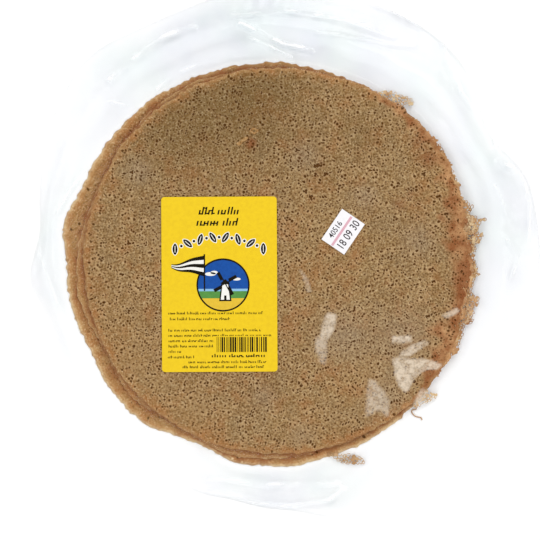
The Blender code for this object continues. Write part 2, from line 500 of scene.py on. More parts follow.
def honeycomb(name, spacing, width, length, place, turn, seed):
    """A flat sheet of six-sided cells, spacing wide each, round a place and turned about it in degrees."""
    half = spacing / 2
    rise = RISE * spacing
    columns = 2 * math.ceil(width / spacing)
    rows = math.ceil(length / rise)
    deselect_all()
    bpy.ops.mesh.primitive_grid_add(x_subdivisions=columns, y_subdivisions=rows, size=1)
    bpy.context.active_object.scale = (columns * half, rows * rise, 1)
    sheet = added(name)
    corner = Vector((-columns * half / 2, -rows * rise / 2, 0))

    def cell(point):
        return round((point.x - corner.x) / half), round((point.y - corner.y) / rise)

    def every_second(edge):
        (column, row), (other_column, other_row) = (cell(vertex.co) for vertex in edge.verts)
        return column == other_column and (column + min(row, other_row)) % 2 and not edge.is_boundary

    with editing(sheet, "EDGE"):
        pick(sheet, "edges", every_second)
        bpy.ops.mesh.dissolve_edges(use_verts=False)

    draw = random.Random(seed)
    for vertex in sheet.data.vertices:
        column, row = cell(vertex.co)
        zigzag = ZIGZAG * spacing * (1 if (column + row) % 2 == 0 else -1)
        warp_x = WARP * drift(vertex.co.x, vertex.co.y, seed, WARP_SIZE * spacing)
        warp_y = WARP * drift(vertex.co.x, vertex.co.y, seed + 0.4, WARP_SIZE * spacing)
        vertex.co.x += spacing * (draw.uniform(-SHAKE, SHAKE) + warp_x)
        vertex.co.y += spacing * (draw.uniform(-SHAKE, SHAKE) + warp_y) + zigzag
    sheet.location = (place[0], place[1], 0)
    sheet.rotation_euler.z = math.radians(turn)
    choose(sheet)
    bpy.ops.object.transform_apply(location=True, rotation=True, scale=True)
    return sheet


# %% [markdown]
# The cells outside the outline are deleted, and the cut edge's corners are pulled straight out onto the
# outline. Corners that land on each other there are merged, and a little smoothing evens the cells just
# inside.

# %% Cut a sheet to an outline


def cut_to(sheet, edge, spacing):
    """Cuts a flat sheet to an outline round the stack's middle."""
    delete_faces(sheet, lambda face: inside_by(edge, face.calc_center_median()) < 0.2 * spacing)
    with editing(sheet, "VERT") as shape:
        for vertex in shape.verts:
            if vertex.is_boundary:
                angle, _ = polar(vertex.co)
                vertex.co.x = STACK_X + edge(angle) * math.cos(angle)
                vertex.co.y = STACK_Y + edge(angle) * math.sin(angle)
        pick(sheet, "verts", lambda vertex: vertex.is_boundary)
        bpy.ops.mesh.remove_doubles(threshold=0.3 * spacing)
        bpy.ops.mesh.select_all(action="SELECT")
        bpy.ops.mesh.delete_loose(use_verts=True, use_edges=True, use_faces=False)
        near = 3 * spacing
        pick(sheet, "verts", lambda vertex: not vertex.is_boundary and inside_by(edge, vertex.co) < near)
        bpy.ops.mesh.vertices_smooth(factor=0.5, repeat=3)

        # Cells that the cut left loose are deleted: only what hangs together with the middle stays.
        nearest = min(polar(vertex.co)[1] for vertex in bmesh.from_edit_mesh(sheet.data).verts)
        pick(sheet, "verts", lambda vertex: polar(vertex.co)[1] <= nearest)
        bpy.ops.mesh.select_linked()
        bpy.ops.mesh.select_all(action="INVERT")
        bpy.ops.mesh.delete(type="VERT")


def slab(name, edge, spacing, thickness, turn, seed):
    """A closed flat slab with an outline: fine cells on top, and one plain face under it."""
    sheet = honeycomb(name, spacing, 300 * MM, 300 * MM, (STACK_X, STACK_Y), turn, seed)
    cut_to(sheet, edge, spacing)
    apply_modifier(sheet, "SOLIDIFY", thickness=thickness, offset=-1)

    def under(face):
        return face.normal.z < -0.5 and inside_by(edge, face.calc_center_median()) > 4 * MM

    delete_faces(sheet, under)
    with editing(sheet, "EDGE"):
        bpy.ops.mesh.select_non_manifold()
        bpy.ops.mesh.edge_face_add()
        turn_outwards()
    return sheet


def open_edges(thing):
    """How many edges don't join two faces. A closed piece has none."""
    shape = bmesh.new()
    shape.from_mesh(thing.data)
    count = sum(not edge.is_manifold for edge in shape.edges)
    shape.free()
    return count


# %% [markdown]
# ## Pressing the pores
# While the slab is still flat, pores are pressed into its upper side by insetting single cells and sinking
# them. Every cell gets one random draw, and its size of pore follows from that draw, so the wide, middle
# and small pores never fall on one cell. A pore's depth is then read straight from the flat slab and kept
# as a value for the finish, before the round is laid in its place.

# %% Pores
PORES = (
    {"from": 0.00, "to": 0.05, "inset": 0.24, "depth": 0.75 * MM},
    {"from": 0.05, "to": 0.17, "inset": 0.32, "depth": 0.55 * MM},
    {"from": 0.17, "to": 0.44, "inset": 0.40, "depth": 0.30 * MM},
)
PORE_DEPTH = 0.55 * MM

WIDE_PORE_WALL = 0.35 * MM
WIDE_PORE_DEPTH = 0.8 * MM

# The widest pores, as places from the stack's middle and a radius, in millimetres.
WIDE_PORES = (
    (-34.5, 93.2, 1.0), (-27.4, 57.3, 1.0), (8.0, 56.9, 1.3), (19.2, 54.1, 1.4), (20.2, 47.8, 1.4),
    (24.1, 43.7, 1.6), (27.2, 58.6, 1.5), (34.0, 59.2, 1.8), (27.0, 64.8, 1.5), (29.8, 64.9, 1.5),
    (30.1, 55.2, 1.5), (15.1, 75.3, 1.3), (21.6, 34.0, 1.1), (9.2, 30.2, 1.1), (11.4, 27.4, 1.1),
    (-11.9, 79.0, 1.0), (5.3, 71.1, 1.0), (12.4, 63.7, 1.0), (15.3, 64.5, 1.0), (111.0, 44.1, 1.3),
    (117.8, 37.4, 1.1), (116.8, 32.2, 1.6), (100.8, 59.2, 1.4), (107.9, 41.3, 1.1), (105.9, -4.9, 1.4),
    (107.9, -13.6, 1.2), (103.7, -37.7, 1.2), (92.3, 49.2, 1.1), (-97.7, 60.5, 1.6), (-102.8, 59.4, 1.2),
    (-100.1, 12.4, 1.5), (-119.2, 1.0, 1.2), (-104.2, -8.3, 1.2), (-84.1, -10.2, 1.2), (-116.4, -28.4, 1.1),
    (-99.8, -34.7, 1.4), (53.5, -32.3, 1.5), (79.0, -96.0, 1.4),
)


def press_wide_pores(sheet):
    """Sinks the cells round each named place as one pore."""

    def inside(face):
        x, y = from_middle(face.calc_center_median())
        return face.normal.z > 0.5 and any(math.hypot(x - a, y - b) < radius for a, b, radius in WIDE_PORES)

    with editing(sheet):
        pick(sheet, "faces", inside)
        bpy.ops.mesh.inset(thickness=WIDE_PORE_WALL, depth=-WIDE_PORE_DEPTH)


def press_pores(sheet, edge, spacing, seed, band):
    """Sinks pores into the upper cells between the band's two distances from the rim, fewer by its third."""
    draw = random.Random(seed)
    values = sheet.data.attributes.new("draw", "FLOAT", "FACE")
    for index, face in enumerate(sheet.data.polygons):
        value = draw.random()
        inward = inside_by(edge, face.center)
        corners = [sheet.data.vertices[corner].co for corner in face.vertices]
        shortest = min((first - second).length for first, second in zip(corners, corners[1:] + corners[:1]))
        even = len(corners) == 6 and shortest > 0.25 * spacing
        if even and face.normal.z > 0.99 and face.center.z > -0.01 * MM and band[0] < inward < band[1]:
            thinned = max(0, 1 - (inward - band[0]) / (3 * MM))
            value *= 1 + 0.3 * drift(face.center.x, face.center.y, 3, 18 * MM) + thinned
            value += band[2]
        else:
            value = 1.0
        values.data[index].value = value
    for pore in PORES:
        with editing(sheet) as shape:
            own = shape.faces.layers.float["draw"]
            pick(sheet, "faces", lambda face: pore["from"] <= face[own] < pore["to"])
            bpy.ops.mesh.inset(thickness=pore["inset"] * spacing, depth=-pore["depth"], use_individual=True)


# %% [markdown]
# ## Laying a round in the stack
# A galette is limp: it follows what is under it, with a slow wave of its own, and its rim thins, rounds
# over and sinks where nothing carries it. Where the next round's edge lies on it, a darker seam is painted:
# partly damp batter, and partly painted shade under that edge.

# %% Make one round


# Stains on the top round, as places and radii in millimetres and a strength: above 0 is redder, below 0
# paler and greyer. The first is not a stain but a painted shadow under the torn spot's ring and ridge.
# TOASTED is the same for how long the batter was baked: above 0 is darker, below 0 lighter and warmer.
STAINS_AND_SHADOW = (
    (-16.5, 80.5, 3.2, 1.5), (85.0, 39.0, 4.5, 0.6), (92.0, 46.0, 3.0, 0.5), (-27.0, 40.0, 9.0, 0.25),
    (-92.5, 61.0, 9.0, -0.45), (20.0, 72.0, 10.0, -0.4), (61.0, 44.0, 8.0, -0.45),
    (46.0, -50.0, 17.0, -0.5), (88.0, -52.0, 20.0, -0.5), (76.0, -92.0, 15.0, -0.4),
    (-8.0, -92.0, 8.0, -0.4), (18.0, -118.0, 9.0, -0.3), (97.0, 15.0, 11.0, -0.4), (131.0, -6.0, 8.0, 1.6),
    (128.0, -20.0, 6.0, 1.4), (126.0, -32.0, 6.0, 0.9), (128.0, 13.0, 5.0, 0.8), (104.0, 70.0, 6.0, 0.9),
    (97.0, 82.0, 5.0, 0.7), (119.0, 34.0, 6.0, 0.5), (55.0, -128.0, 10.0, 0.5),
)
TOASTED = (
    (-20.0, 112.0, 44.0, 0.75), (-75.0, 85.0, 34.0, 0.45), (60.0, 88.0, 18.0, 0.35),
    (30.0, 60.0, 14.0, 0.25), (-105.0, -62.0, 30.0, -0.45), (-60.0, -112.0, 26.0, -0.35),
    (25.0, -122.0, 22.0, -0.3), (60.0, -85.0, 20.0, -0.3), (112.0, 60.0, 16.0, -0.3),
    (118.0, -60.0, 20.0, -0.4), (-60.0, -60.0, 20.0, 0.2),
)


def marked(marks, x, y):
    """The sum of some round marks at a place, each with its middle, radius and strength."""
    x, y = (x - STACK_X) / MM, (y - STACK_Y) / MM
    return sum(much * math.exp(-(((x - a) ** 2 + (y - b) ** 2) / size**2)) for a, b, size, much in marks)


def crisp_share(angle, inward, x, y):
    """How crisp the top round is: the band at its right side, wider and narrower by turns."""
    width = 17 * MM * max(swell(angle, 8, 26), swell(angle, 338, 17), 0.45 * swell(angle, 45, 14))
    if width < 1 * MM:
        return 0.0
    share = 1.15 - inward / width + 0.7 * drift(x, y, 9, 7 * MM)
    pale_edge = 0.35 + 0.65 * min(1.0, max(0.0, inward / (2.4 * MM)))
    return min(1.0, max(0.0, share * 1.6)) * pale_edge


def add_values(thing, **readers):
    """Writes one value per vertex for each named reader, which is called with the vertex's place."""
    for name, reader in readers.items():
        values = thing.data.attributes.new(name, "FLOAT", "POINT").data
        for index, vertex in enumerate(thing.data.vertices):
            values[index].value = reader(vertex.co)


def add_crumb_values(thing, **readers):
    """Gives a small piece every value that the buckwheat finish reads, 0 where no reader is named."""
    add_values(thing, **{name: readers.get(name, lambda co: 0.0) for name in CRUMB_VALUES})


# How wide the darker seam is: partly damp batter, partly painted shade under the upper round's edge.
SHADED_SEAM_WIDTH = 2.4 * MM

# A golden rim's shift of the edge's look in millimetres, for each round: the lower ones show their rims more.
RIM_SHIFTS = (0.0, 0.2, 0.6, 2.4)

# How quickly a rim thins, how far its wave reaches inwards, and the wave's limits down and up.
THINNING = (1.1 * MM, 1.8 * MM, 1.8 * MM, 1.8 * MM)
RIM_WAVE_REACH = 6 * MM
RIM_WAVE_DOWN = -0.15 * MM
RIM_WAVE_UP = 0.12 * MM


def make_round(number, spacing, band):
    """One galette, from the top round at 0 to the lowest at 3."""
    edge = round_edges[number]
    name = f"galette_{number + 1}"
    thickness = ROUND_THICKNESS - 0.25 * MM
    sheet = slab(name, edge, spacing, thickness, 17 + 31 * number, 200 + number)
    if number == 0:
        press_wide_pores(sheet)
    press_pores(sheet, edge, spacing, 300 + number, band)
    top = STACK_TOP - 0.2 * MM - number * ROUND_THICKNESS
    mesh = sheet.data
    for value in CRUMB_VALUES:
        mesh.attributes.new(value, "FLOAT", "POINT")
    pore, lip_highlight, edge_mm, crisp, damp_and_shaded_seam, stain_and_shadow, toast = (mesh.attributes[value].data for value in CRUMB_VALUES)
    # How high a top corner stands on a pore's lip: the finish lightens it there as a painted highlight.
    for side in mesh.edges:
        for rim, deep in (side.vertices, reversed(side.vertices)):
            depth = -mesh.vertices[deep].co.z
            if mesh.vertices[rim].co.z > -0.02 * MM and 0.25 * MM < depth < 1 * MM:
                lip_highlight[rim].value = max(lip_highlight[rim].value, depth / PORE_DEPTH)
    for index, vertex in enumerate(mesh.vertices):
        x, y, z = vertex.co
        angle, distance = polar(vertex.co)
        inward = edge(angle) - distance
        under = z < -0.9 * thickness
        pore[index].value = 0.0 if under else min(1.0, -z / PORE_DEPTH)
        golden = 0.0 if number == 0 else 1 - 0.9 * swell(angle, 92, 42)
        edge_mm[index].value = inward / MM + 2.4 - RIM_SHIFTS[number] * golden
        toast[index].value = marked(TOASTED, x, y) - 0.75 * golden
        if number == 0:
            crisp[index].value = crisp_share(angle, inward, x, y)
            # Redder and paler stains, and one painted shadow under the torn spot.
            stain_and_shadow[index].value = marked(STAINS_AND_SHADOW, x, y)
        else:
            # A darker seam just past the upper round's edge: partly damp, partly painted shade under that
            # edge.
            uncovered = distance - round_edges[number - 1](angle)
            shaded_seam_width = SHADED_SEAM_WIDTH * (1 + drift(x, y, 19, 6 * MM))
            damp_and_shaded_seam[index].value = math.exp(-((max(uncovered, 0) / shaded_seam_width) ** 2))
        thin = 1 - math.exp(-max(inward, 0) / THINNING[number])
        z = -thickness + (z + thickness) * (0.3 + 0.7 * thin)
        wave = 0.12 * MM * drift(x, y, 1, 45 * MM)
        fine_wave = (0.2 if number == 0 else 0.6) * drift(x, y, 15 + number, 2.6 * MM)
        rim_wave = 0.5 * drift(x, y, 5 + number, 11 * MM) + fine_wave
        rim_wave *= MM * math.exp(-max(inward, 0) / RIM_WAVE_REACH)
        vertex.co.z = top + z + wave + min(max(rim_wave, RIM_WAVE_DOWN), RIM_WAVE_UP)
    mesh.shade_smooth()
    mesh.materials.append(baked_buckwheat(f"baked_buckwheat_{number + 1}", (37.0 * number, 11.0 * number, 0)))
    triangles = sum(len(face.vertices) - 2 for face in mesh.polygons)
    print(name, triangles, "triangles", open_edges(sheet), "open edges")
    return sheet


galettes = [make_round(0, 1.9 * MM, (1.0 * MM, 1, 0))]
for number in (1, 2, 3):
    galettes.append(make_round(number, 2.5 * MM, (4 * MM, 16 * MM, 0.12)))

# %% [markdown]
# ## The film
# The bag is thin clear film. It lies taut on the galettes and drops off their edge into a loose margin,
# which holds a little air and is full of low folds. Its height is written down first, as a function of the
# place, since the lace at the rim has to stay under it.

# %% Film shape
FILM_FOOT = 2.4 * MM
FILM_EDGE = 1.0 * MM
FILM_UNDER = 0.03 * MM
PILLOW_LEAST = 1.2 * MM
PILLOW_MOST = 5.8 * MM
PILLOW_TOWARDS = 85
CURL = 2.2 * MM

# Folds as lines of places from the stack's middle, in millimetres, with the ridge's half width and height.
FOLDS = (
    ((-24, 161), (5, 147), (25, 143), 1.6, 2.2),
    ((-16, 151), (10, 139), 1.3, 1.6),
    ((-35, 166), (7, 170), (47, 164), (80, 152), 2.2, 1.0),
    ((28, 155), (50, 153), (82, 147), (94, 147), 1.8, 0.8),
    ((66, 176), (78, 172), (99, 160), 1.8, 2.4),
    ((113, 150), (126, 115), (147, 89), (150, 77), 2.0, 0.9),
    ((152, 68), (167, 61), (173, 40), (172, 14), 1.8, 1.0),
    ((158, 14), (165, 4), (160, -12), 1.6, 0.9),
    ((150, 50), (158, 30), 1.5, 0.8),
    ((-154, 100), (-147, 120), (-131, 143), (-119, 147), (-93, 162), (-70, 173), 1.8, 0.9),
    ((-112, 122), (-103, 131), (-75, 152), (-56, 159), 3.0, 1.0),
    ((-148, 33), (-140, 47), (-130, 61), 1.3, 1.3),
    ((-82, -135), (-60, -150), 2.0, 0.8),
    ((-46, -149), (-9, -154), (42, -153), 2.2, 0.9),
    ((-23, -166), (5, -169), (38, -164), (47, -156), 2.0, 1.0),
    ((-105, -98), (-103, -112), 1.3, 0.8),
    ((-97, -106), (-93, -118), 1.2, 0.7),
    ((-112, 108), (-100, 105), 1.3, 0.8),
    ((-80, 117), (-70, 126), (-51, 134), 1.5, 0.9),
    ((-168, 20), (-160, -2), (-150, -30), 2.0, 0.7),
)

# The torn spot's ring and ridge, as places in millimetres. The film stands up over them.
TORN_RING = (-14.6, 88.8)
TORN_RIDGE = (-22.5, 82.0)
TENT = 1.0 * MM

# Where the margin shows most, as a direction, a share and a half width in degrees.
FILM_SHOWS = ((95, 1.0, 50), (12, 0.65, 34), (180, 0.55, 28), (272, 0.65, 24))

# Whitish patches of painted reflection on the film over the crumb: corners in order, how white, and how soft
# their edge is.
NARROW_REFLECTION_PATCH = ((85, -62.6), (93.2, -57.1), (101.3, -54.4), (103.4, -55.8), (97.2, -59.8), (91.1, -63.9))
NARROW_REFLECTION_PATCH += ((85, -63.9),)
WIDE_REFLECTION_PATCH = ((80.2, -66), (85, -65.3), (91.8, -67), (100.3, -66.6), (107.1, -68.3), (112.6, -70.7))
WIDE_REFLECTION_PATCH += ((109.5, -72.8), (102.7, -73), (97.9, -75.5), (93.5, -80.2), (89.8, -87.7), (87.7, -88.4))
WIDE_REFLECTION_PATCH += ((84.3, -84.3), (82, -78.5))
LOW_REFLECTION_PATCH = ((63.9, -80.2), (67.3, -81.6), (74.1, -89.8), (76.8, -95.2), (76.2, -104.7), (71, -100))
LOW_REFLECTION_PATCH += ((62, -104.7), (62, -97))
PAINTED_REFLECTION_PATCHES = (
    (((32, -43.5), (35.4, -35.4), (41.3, -36.7), (39.2, -46.2), (35.0, -53), (30.4, -54)), 0.95, 1.4),
    (((28, -51.7), (34.2, -50), (34.6, -60), (33.5, -69.4), (31, -68), (27.6, -59.8)), 0.7, 1.5),
    (((79.6, -51), (91.8, -51), (92.5, -54.4), (80.2, -54.7)), 1.0, 0.8),
    (NARROW_REFLECTION_PATCH, 0.9, 0.9),
    (WIDE_REFLECTION_PATCH, 1.0, 0.9),
    (LOW_REFLECTION_PATCH, 0.72, 1.8),
    (((113.6, -36.7), (123.1, -32), (124.4, -34), (117.6, -38)), 0.8, 1.0),
    (((17, -6), (21.8, -12.2), (24, -20.4), (22, -20.4), (19.7, -12.2)), 0.55, 1.0),
    (((94.5, -97), (97.5, -90), (100, -86.5), (103, -89), (99, -96)), 0.8, 1.2),
)


def inside_of(x, y, corners):
    """Whether a place lies inside a closed line of corners."""
    inside = False
    for (x0, y0), (x1, y1) in zip(corners, corners[1:] + corners[:1]):
        if (y0 > y) != (y1 > y) and x < x0 + (x1 - x0) * (y - y0) / (y1 - y0):
            inside = not inside
    return inside


def to_line(x, y, points):
    """How far a place lies from a line of points in millimetres, and 1 or -1 for its shaded or lit side."""
    nearest, side = 1e9, 1
    for (x0, y0), (x1, y1) in zip(points, points[1:]):
        dx, dy = x1 - x0, y1 - y0
        share = min(1.0, max(0.0, ((x - x0) * dx + (y - y0) * dy) / (dx * dx + dy * dy)))
        away_x, away_y = x - x0 - share * dx, y - y0 - share * dy
        away = math.hypot(away_x, away_y)
        if away < nearest:
            nearest, side = away, 1 if away_y + 0.36 * away_x < 0 else -1
    return nearest, side


def smooth_step(low, high, value):
    """0 at low, 1 at high, and a smooth rise between them, whichever of the two is the larger."""
    share = min(1.0, max(0.0, (value - low) / (high - low)))
    return share * share * (3 - 2 * share)


def frosted(x, y):
    """How much painted reflection whitens the film at a place in millimetres."""
    most = 0.0
    for corners, white, soft in PAINTED_REFLECTION_PATCHES:
        closed = corners + corners[:1]
        away, _ = to_line(x, y, closed)
        away = -away if inside_of(x, y, corners) else away
        most = max(most, white * smooth_step(soft, -soft, away - 0.6))
    return most


def skirt_height(angle, share):
    """The loose margin's height, from the stack's foot at share 0 to the bag's edge at share 1."""
    share = min(1.0, max(0.0, share))
    lean = 0.5 + 0.5 * math.cos(angle - math.radians(PILLOW_TOWARDS))
    pillow = PILLOW_LEAST + (PILLOW_MOST - PILLOW_LEAST) * lean
    bulge = math.sin(math.pi * share**0.8)
    slope = FILM_FOOT + (FILM_EDGE - FILM_FOOT) * share
    crease = math.sin(math.tau * 2.5 * share + 2.2 * ripple(angle, 83, 2, 7))
    buckle = ripple(angle + 0.3 * share, 97, 9, 30)
    folds = 1.1 * MM * bulge * (0.6 * crease + 0.35 * buckle) * (0.4 + 0.6 * lean)
    curl = CURL * (0.5 + 0.5 * ripple(angle, 59, 2, 6)) ** 2
    return slope + pillow * bulge + folds + curl * share**4


def under_paper(x, y):
    """1 under the label and the sticker, where the film is held flat, falling to 0 within 4 mm of them."""
    nearest = 1.0
    for low, high in ((label_low, label_high), (sticker_low, sticker_high)):
        away = max(low.x - x, x - high.x, low.y - y, y - high.y, 0)
        nearest = min(nearest, away / (4 * MM))
    return 1 - nearest


def film_height(x, y):
    """The height of the film's upper side at a place."""
    angle, distance = polar(Vector((x, y, 0)))
    first = even_top(angle)
    foot = even_low(angle)
    share = (distance - foot) / (bag_edge(angle) - foot)
    down = smooth_step(first - 0.5 * MM, max(first + 6 * MM, foot + 5 * MM), distance)
    held = under_paper(x, y)
    loose = 0.35 * MM * (1 - held) * (0.5 + 0.5 * drift(x, y, 41, 14 * MM))
    flat = STACK_TOP + (0.17 + 0.1 * held) * MM + loose
    height = flat * (1 - down) + skirt_height(angle, share) * down
    x_mm, y_mm = (x - STACK_X) / MM, (y - STACK_Y) / MM
    torn = min(math.hypot(x_mm - a, y_mm - b) for a, b in (TORN_RING, TORN_RIDGE))
    height += TENT * math.exp(-((torn / 6) ** 2))
    fold = 0.0
    for *points, half_width, ridge in FOLDS:
        away, _ = to_line(x_mm, y_mm, points)
        if away < 3 * half_width:
            fold = max(fold, ridge * MM * math.exp(-((away / half_width) ** 2)))
    fine = 0.22 * MM * down * drift(x, y, 43, 5 * MM)
    return height + fold * max(down, 0.4 * (1 - held)) + fine


# %% [markdown]
# ## Lace
# Where the batter ran out thinnest, its bubbles burst and set as a lace of threads, crisp and red-brown.
# The same six-sided cells make it: each is inset, which leaves a thread all round it, the middles are
# deleted where the bubbles burst, and a thickness is given to what is left.

# %% Make lace
# The share of the sheet's edges that are gone, a thread's half width in cell widths, and its thickness.
LACE_GONE = 0.13
LACE_THREAD = 0.16
LACE_THICKNESS = 0.4 * MM

# How far the lace waves up, down and sideways, and how far it stays under the film.
LACE_WAVE = 0.5 * MM
LACE_ROOM = 0.7 * MM


def make_lace(name, size, place, turn, spacing, height, cells, look, seed):
    """Lace from a sheet of six-sided cells round a place in millimetres. The two questions in cells say if one
    is kept and how likely it is a hole. Look is how crisp the lace is and how far from the rim it seems."""
    kept, holes = cells
    draw = random.Random(seed)
    middle = (STACK_X + place[0] * MM, STACK_Y + place[1] * MM)
    lace = honeycomb(name, spacing, size[0] * MM, size[1] * MM, middle, turn, seed)
    delete_faces(lace, lambda face: not kept(*from_middle(face.calc_center_median())))
    with editing(lace, "EDGE"):
        pick(lace, "edges", lambda edge: not edge.is_boundary and draw.random() < LACE_GONE)
        bpy.ops.mesh.dissolve_edges(use_verts=False)
        bpy.ops.mesh.select_mode(type="FACE")
        bpy.ops.mesh.select_all(action="SELECT")
        bpy.ops.mesh.inset(thickness=LACE_THREAD * spacing, use_individual=True)

        # The inset leaves the cells' middles selected. Those that stay whole are taken out of the selection.
        shape = bmesh.from_edit_mesh(lace.data)
        for face in shape.faces:
            hole = face.select and draw.random() < holes(*from_middle(face.calc_center_median()))
            face.select_set(hole)
        bmesh.update_edit_mesh(lace.data)
        bpy.ops.mesh.delete(type="FACE")
    apply_modifier(lace, "SOLIDIFY", thickness=LACE_THICKNESS, offset=0)
    for vertex in lace.data.vertices:
        x, y, _ = vertex.co
        level = height + LACE_WAVE * drift(x, y, 31, 5 * MM)
        vertex.co.x += LACE_WAVE * drift(x, y, 35, 2 * MM)
        vertex.co.y += LACE_WAVE * drift(x, y, 36, 2 * MM)
        vertex.co.z += min(level, film_height(x, y) - LACE_ROOM)
    add_crumb_values(
        lace,
        edge_mm=lambda co: look[1] + 1.6 * drift(co.x, co.y, 34, 4 * MM),
        crisp=lambda co: min(1.0, max(0.0, look[0] + 0.9 * drift(co.x, co.y, 33, 7 * MM))),
    )
    lace.data.shade_smooth()
    lace.data.materials.append(bpy.data.materials["baked_buckwheat_1"])
    print(name, len(lace.data.polygons), "faces", open_edges(lace), "open edges")
    return lace


# How far the lace at the right reaches past the top round, as directions, millimetres and half widths.
RIGHT_LACE = ((9.5, 5.0, 4.5), (15.3, 2.5, 1.3), (11.0, 4.0, 0.9), (6.7, 2.0, 1.6), (-3.5, 3.0, 3.0))
RIGHT_LACE += ((-11.5, 5.0, 2.6), (-16.5, 3.5, 2.5), (-26.0, 2.0, 3.5), (24.0, 1.8, 2.0), (34.0, 1.6, 5.0))


def past_rim(x, y):
    """How far a place lies outside the top round's rim, in millimetres, and its direction."""
    angle = math.atan2(y, x)
    return math.hypot(x, y) - round_edges[0](angle) / MM, angle


def on_the_right(x, y):
    """Whether a place lies on the lace at the right."""
    past, angle = past_rim(x, y)
    reach = swelling(angle, RIGHT_LACE) + 4.5 * laciest(angle)
    return -3.0 < past < reach * (1 + 0.5 * drift(x, y, 66, 3)) + 0.6 * drift(x, y, 67, 2.5) - 0.2


def right_holes(x, y):
    """Many burst bubbles in the laciest stretches and past the rim, few elsewhere."""
    past, angle = past_rim(x, y)
    return min(0.92, 0.15 + 0.3 * laciest(angle) + 0.6 * (past > 0.3))


def flap(corners, burst):
    """The two questions for a flap with some corners: it is lace all over, with the same share of holes."""
    return lambda x, y: inside_of(x + drift(x, y, 8, 3), y, corners), lambda x, y: burst


# Thin flaps that lie past the rim, each as its corners in order.
UPPER_FLAP = ((66, 112), (68.7, 116.3), (74.1, 116.2), (81.6, 115.6), (87.7, 113.8), (93.2, 111.5))
UPPER_FLAP += ((95.2, 108.8), (91.8, 106.8), (86.4, 107.2), (80.2, 107.5), (75.5, 107.0), (71, 108))
LOW_FLAP = ((37.4, -129.5), (42.8, -131.8), (51, -132.2), (56.4, -133.8), (62.2, -137.2), (59.2, -139.4))
LOW_FLAP += ((52.4, -138.9), (45.6, -137.6), (41, -135.6), (35, -132.5))
FRAYED_FLAP = ((93.5, -99.5), (95.6, -93.8), (98.6, -88.4), (101.3, -85.9), (103.4, -88), (102.6, -90.6))
FRAYED_FLAP += ((106, -89.8), (111.5, -91.3), (107, -95), (102.5, -96.9), (98, -99.3))
UPPER = flap(UPPER_FLAP, 0.8)
LOW = flap(LOW_FLAP, 0.7)
FRAYED = flap(FRAYED_FLAP, 0.75)
RIGHT = (on_the_right, right_holes)
BENEATH = (lambda x, y: on_the_right(x + 0.8, y), lambda x, y: 0.45 * right_holes(x, y))
BASE = STACK_TOP - 0.8 * MM - LOWEST * ROUND_THICKNESS

RIGHT_SHEET = ((64, 190), (134, 12))
laces = [
    make_lace("lace_right", *RIGHT_SHEET, 4, 2.2 * MM, STACK_TOP - 0.9 * MM, RIGHT, (0.7, 2.0), 61),
    make_lace("lace_right_lower", *RIGHT_SHEET, 19, 2.0 * MM, STACK_TOP - 1.7 * MM, BENEATH, (0.0, 0.6), 65),
    make_lace("lace_upper_flap", (44, 30), (80, 112), 12, 2.1 * MM, BASE + 1.5 * MM, UPPER, (-0.3, 0.3), 62),
    make_lace("lace_low_flap", (44, 26), (50, -134), 15, 2.1 * MM, BASE + 0.6 * MM, LOW, (0.2, 1.4), 63),
    make_lace("lace_frayed_flap", (34, 26), (101, -94), 50, 1.8 * MM, BASE + 2 * MM, FRAYED, (0.0, 0.9), 64),
]

# %% [markdown]
# A loose strand of batter hangs off the rim at the lower right. It is a curve with a round section, turned
# into a mesh, and the corners that its capped ends share with its sides are merged.

# %% Loose strand
STRAND = ((95.5, -98.5, 1.6), (96.6, -101.0, 1.3), (93.6, -102.2, 1.0), (94.4, -104.8, 0.8))
STRAND += ((97.2, -106.6, 0.8), (99.8, -107.2, 0.8), (100.6, -108.8, 0.8))
deselect_all()
bpy.ops.curve.primitive_bezier_curve_add(location=(0, 0, 0))
strand = bpy.context.active_object
spline = strand.data.splines[0]
spline.bezier_points.add(len(STRAND) - 2)
for point, (x, y, z) in zip(spline.bezier_points, STRAND):
    point.co = (STACK_X + x * MM, STACK_Y + y * MM, z * MM)
    point.handle_left_type = point.handle_right_type = "AUTO"
strand.data.bevel_depth = 0.34 * MM
strand.data.use_fill_caps = True
choose(strand)
bpy.ops.object.convert(target="MESH")
strand = added("loose_strand")
with editing(strand):
    turn_outwards(0.001 * MM)

# %% [markdown]
# ## The torn spot and the highlight crumbs
# Above the label the top round has a small torn spot: a ring of batter that stands up round a burst bubble,
# and a ridge beside it. Each is a primitive that is squashed into the crumb and roughened. A few small pale
# crumbs on the rim of the lowest round stand for highlight dots there, as a painted highlight: they are one
# small roughened ball, copied to its places.

# %% The torn spot, and the highlight crumbs


def roughened(thing, amount, size, seed):
    """Moves each vertex a little by a random wave, the same way for neighbours."""
    for vertex in thing.data.vertices:
        x, y, z = vertex.co
        vertex.co.x += amount * drift(x + z, y, seed, size)
        vertex.co.y += amount * drift(x, y + z, seed + 1, size)
        vertex.co.z += 0.5 * amount * drift(x, y, seed + 2, size)


def on_top(place):
    """A place on the top round, from one in millimetres from the stack's middle."""
    return STACK_X + place[0] * MM, STACK_Y + place[1] * MM, STACK_TOP - 0.2 * MM


deselect_all()
thick = {"major_radius": 1.7 * MM, "minor_radius": 0.95 * MM}
bpy.ops.mesh.primitive_torus_add(location=on_top(TORN_RING), major_segments=28, minor_segments=12, **thick)
bpy.context.active_object.scale = (1.15, 0.9, 0.6)
ring = added("torn_ring")
roughened(ring, 0.7 * MM, 1.5 * MM, 71)
deselect_all()
bpy.ops.mesh.primitive_uv_sphere_add(location=on_top(TORN_RIDGE), radius=1 * MM, segments=32, ring_count=20)
bpy.context.active_object.scale = (4.4, 1.3, 0.5)
bpy.context.active_object.rotation_euler.z = math.radians(38)
ridge = added("torn_ridge")
roughened(ridge, 1.1 * MM, 2.0 * MM, 75)
